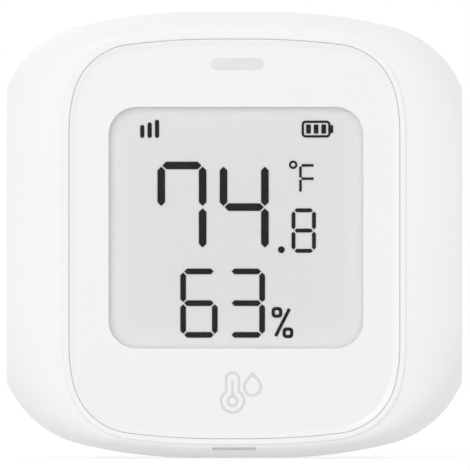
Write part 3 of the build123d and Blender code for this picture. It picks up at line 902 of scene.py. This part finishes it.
def banded(mesh, rings, smooth_bands=()):
    """Adds the faces between each ring of corners and the next one."""
    for number, (first, second) in enumerate(zip(rings, rings[1:])):
        for at in range(len(first)):
            beside = (at + 1) % len(first)
            face = mesh.faces.new((first[at], first[beside], second[beside], second[at]))
            face.smooth = number in smooth_bands


def walled(mesh, loops):
    """Adds the walls between loops of as many points, each loop with its depth."""
    rings = [
        [mesh.verts.new((x * MM, depth, z * MM)) for x, z in loop] for loop, depth in loops
    ]
    banded(mesh, rings)
    return rings[0], rings[-1]


def filled(mesh, loops):
    """Fills the face between an outer loop of points and the holes in it."""
    edges = []
    for loop in loops:
        for at in range(len(loop)):
            pair = (loop[at], loop[(at + 1) % len(loop)])
            edges.append(mesh.edges.get(pair) or mesh.edges.new(pair))
    bmesh.ops.triangle_fill(
        mesh, edges=edges, use_beauty=True, use_dissolve=False, normal=(0, -1, 0),
    )


def widened(place, size, corner, by):
    """A rounded rectangle, moved out by a distance."""
    return rounded(place, size[0] + 2 * by, size[1] + 2 * by, corner + by)


plate_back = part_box("face_plate")[1].y
rebate_front = plate_back - rim_depth * MM
border_top = plate_face - border_rise * MM
plate_mesh = bmesh.new()
outer_front, outer_back = walled(plate_mesh, [
    (plate_outline(border_foot_in), plate_face),
    (plate_outline(border_top_in), border_top),
    (plate_outline(border_round - seat_play), border_top),
    (plate_outline(-seat_play), border_top + border_round * MM),
    (plate_outline(-seat_play), plate_back),
])
window_hole = widened(window_place, window_size, window_corner - hole_play, hole_play)
rebate_hole = widened(window_place, window_size, window_corner, rim_reach)
pill_hole = widened(pill_place, pill_size, pill_size[1] / 2 - least_edge, hole_play)
window_front, window_back = walled(plate_mesh, [
    (window_hole, plate_face), (window_hole, rebate_front),
    (rebate_hole, rebate_front), (rebate_hole, plate_back),
])
pill_front, pill_back = walled(plate_mesh, [(pill_hole, plate_face), (pill_hole, plate_back)])
filled(plate_mesh, (outer_front, window_front, pill_front))
filled(plate_mesh, (outer_back, window_back, pill_back))
dished = piece("face_plate_dished", plate_mesh, [plate_white], "housing")
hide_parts("face_plate")

# Screws of the tray: domed heads with a cross recess, the shanks as packed
head_radius = 1.8
head_height = 1.1
shank_radius = 1.0
recess_reach = 0.85
recess_half = 0.17
recess_depth = 0.7
recess_foot_share = 0.45
screw_steps = 24
# Rings of the head from its underside: how high each one is, and its radius
head_profile = (
    (0, shank_radius), (0, head_radius), (0.42, head_radius),
    (0.65, 1.72), (0.86, 1.5), (1.0, 1.2), (1.05, 1.05),
)
domed_bands = range(2, 7)


def cross_points(reach, half):
    """Points round a cross: six in each quarter, to pair with a circle of twenty-four."""
    middle = (reach + half) / 2
    quarter = (
        (reach, 0), (reach, half), (middle, half), (half, half), (half, middle), (half, reach),
    )
    points = []
    for turn in range(4):
        for x, z in quarter:
            for _ in range(turn):
                x, z = -z, x
            points.append((x, z))
    return points


def screw(mesh, x, seat, z, foot):
    """Adds one screw with its head's underside on a seat and its shank's end at a foot."""
    recess_foot = head_height - recess_depth
    cross = cross_points(recess_reach, recess_half)
    foot_cross = [(dx * recess_foot_share, dz * recess_foot_share) for dx, dz in cross]
    loops = [((foot - seat) / MM, circle((0, 0), shank_radius, screw_steps))]
    loops += [(rise, circle((0, 0), radius, screw_steps)) for rise, radius in head_profile]
    loops += [(head_height, cross), (recess_foot, foot_cross)]
    rings = [
        [mesh.verts.new((x + dx * MM, seat + rise * MM, z + dz * MM)) for dx, dz in loop]
        for rise, loop in loops
    ]
    banded(mesh, rings, domed_bands)
    mesh.faces.new(rings[0])
    centre = mesh.verts.new((x, seat + recess_foot * MM, z))
    for at, corner in enumerate(rings[-1]):
        mesh.faces.new((corner, rings[-1][(at + 1) % screw_steps], centre))


screw_low, screw_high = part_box("tray_screws")
screw_mesh = bmesh.new()
for x in (screw_low.x + head_radius * MM, screw_high.x - head_radius * MM):
    for z in (screw_low.z + head_radius * MM, screw_high.z - head_radius * MM):
        screw(screw_mesh, x, screw_high.y - head_height * MM, z, screw_low.y)
driven = piece("tray_screws_driven", screw_mesh, [screw_nickel], "housing")
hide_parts("tray_screws")

# Pale sheet of foam a little way inside the slit in the lower flank, across the way to
# the sensing chip: the slit's middle on the surface, its lean, and the sheet's sizes
slit_place = Vector((0, -11.33, 1.28))
slit_lean = math.radians(30)
sheet_size = (5.75, 0.55)
sheet_front, sheet_back = 0.26, 0.76
inward = Vector((0, math.cos(slit_lean), math.sin(slit_lean)))
upward = Vector((0, -math.sin(slit_lean), math.cos(slit_lean)))
sheet_mesh = bmesh.new()
sheet_rings = [
    [
        sheet_mesh.verts.new((slit_place + inward * depth + upward * z + Vector((x, 0, 0))) * MM)
        for x, z in rounded((0, 0), *sheet_size, sheet_size[1] / 2 - least_edge)
    ]
    for depth in (sheet_front, sheet_back)
]
banded(sheet_mesh, sheet_rings)
for ring in sheet_rings:
    sheet_mesh.faces.new(ring)
piece("slit_sheet", sheet_mesh, [tape_foam], "housing")

# Camera: level, in front of the middle of the body, and framed as the photograph is
body_middle = (body_low + body_high) / 2
image_middle = photo_pixels / 2
camera_data = bpy.data.cameras.new("camera")
camera_data.type = "PERSP"
camera_data.sensor_width = sensor_width
view_width = photo_pixels * mm_per_pixel * MM
camera_data.lens = sensor_width * (camera_distance + body_low.y) / view_width
camera = bpy.data.objects.new("camera", camera_data)
camera.location = (
    (image_middle - body_middle_px) * mm_per_pixel * MM,
    -camera_distance,
    body_middle.z + (body_middle_py - image_middle) * mm_per_pixel * MM,
)
camera.rotation_euler = (math.radians(90), 0, 0)
camera_data.clip_start = 0.1
camera_data.clip_end = 100
bpy.context.scene.collection.objects.link(camera)
bpy.context.scene.camera = camera


def shown_rays(tree):
    """1 for the rays that show the surround: the camera's, mirrored and let through ones."""
    path = add(tree, "ShaderNodeLightPath").outputs
    seen = maths(tree, "MAXIMUM", path["Is Camera Ray"], path["Is Glossy Ray"])
    return maths(tree, "MAXIMUM", seen, path["Is Transmission Ray"])


def floor_finish():
    """Opal glass of a light table: as bright as white paper by its own glow and by the
    light that falls on it, so that it keeps the object's shadow, and white where it shows."""
    made, tree, place = start("opal_glass_floor")
    matt = add(tree, "ShaderNodeBsdfDiffuse", {
        "Color": tint(tree, spread(tree, place, 40, 0, 1), "#AAAAAA", "#A6A6A6"),
    })
    strength = add(tree, "ShaderNodeMapRange", {
        "Value": shown_rays(tree), "To Min": table_glow, "To Max": table_shown,
    })
    glow = add(tree, "ShaderNodeEmission", {
        "Color": linear("#FFFFFF"), "Strength": strength.outputs["Result"],
    })
    both = add(tree, "ShaderNodeAddShader", {0: matt.outputs[0], 1: glow.outputs[0]})
    add(tree, "ShaderNodeOutputMaterial", {"Surface": both.outputs[0]})
    return made


# The table's own glow, as it lights the object and as it is seen
table_glow = 0.46
table_shown = 0.64
floor_half = 1.2
floor_mesh = bmesh.new()
floor_mesh.faces.new([
    floor_mesh.verts.new((x * floor_half, y * floor_half, 0))
    for x, y in ((-1, -1), (1, -1), (1, 1), (-1, 1))
])
floor_data = bpy.data.meshes.new("floor")
floor_mesh.to_mesh(floor_data)
floor_mesh.free()
floor_data.materials.append(floor_finish())
floor = bpy.data.objects.new("floor", floor_data)
bpy.context.scene.collection.objects.link(floor)

# Studio: an even white surround, and soft lamps that lean to the upper left
surround_strength = 0.90
world = bpy.data.worlds.new("studio")
world.use_nodes = True
sky = world.node_tree
sky.nodes.clear()
strength = add(sky, "ShaderNodeMapRange", {
    "Value": shown_rays(sky), "To Min": surround_strength, "To Max": 1.0,
})
surround = add(sky, "ShaderNodeBackground", {
    "Color": linear("#FFFFFF"), "Strength": strength.outputs["Result"],
})
add(sky, "ShaderNodeOutputWorld", {"Surface": surround.outputs[0]})
bpy.context.scene.world = world


def lamp(name, place, size, watts):
    """A square soft lamp that points at the middle of the body."""
    data = bpy.data.lights.new(name, "AREA")
    data.size = size
    data.energy = watts
    made = bpy.data.objects.new(name, data)
    made.location = place
    toward = body_middle - Vector(place)
    made.rotation_euler = toward.to_track_quat("-Z", "Y").to_euler()
    bpy.context.scene.collection.objects.link(made)


lamp("key_lamp", (-0.6, -1.6, 0.5), 0.9, 5.8)
lamp("back_lamp", (-0.5, 1.2, 0.9), 0.9, 1.0)

bpy.context.scene.view_settings.view_transform = "Standard"
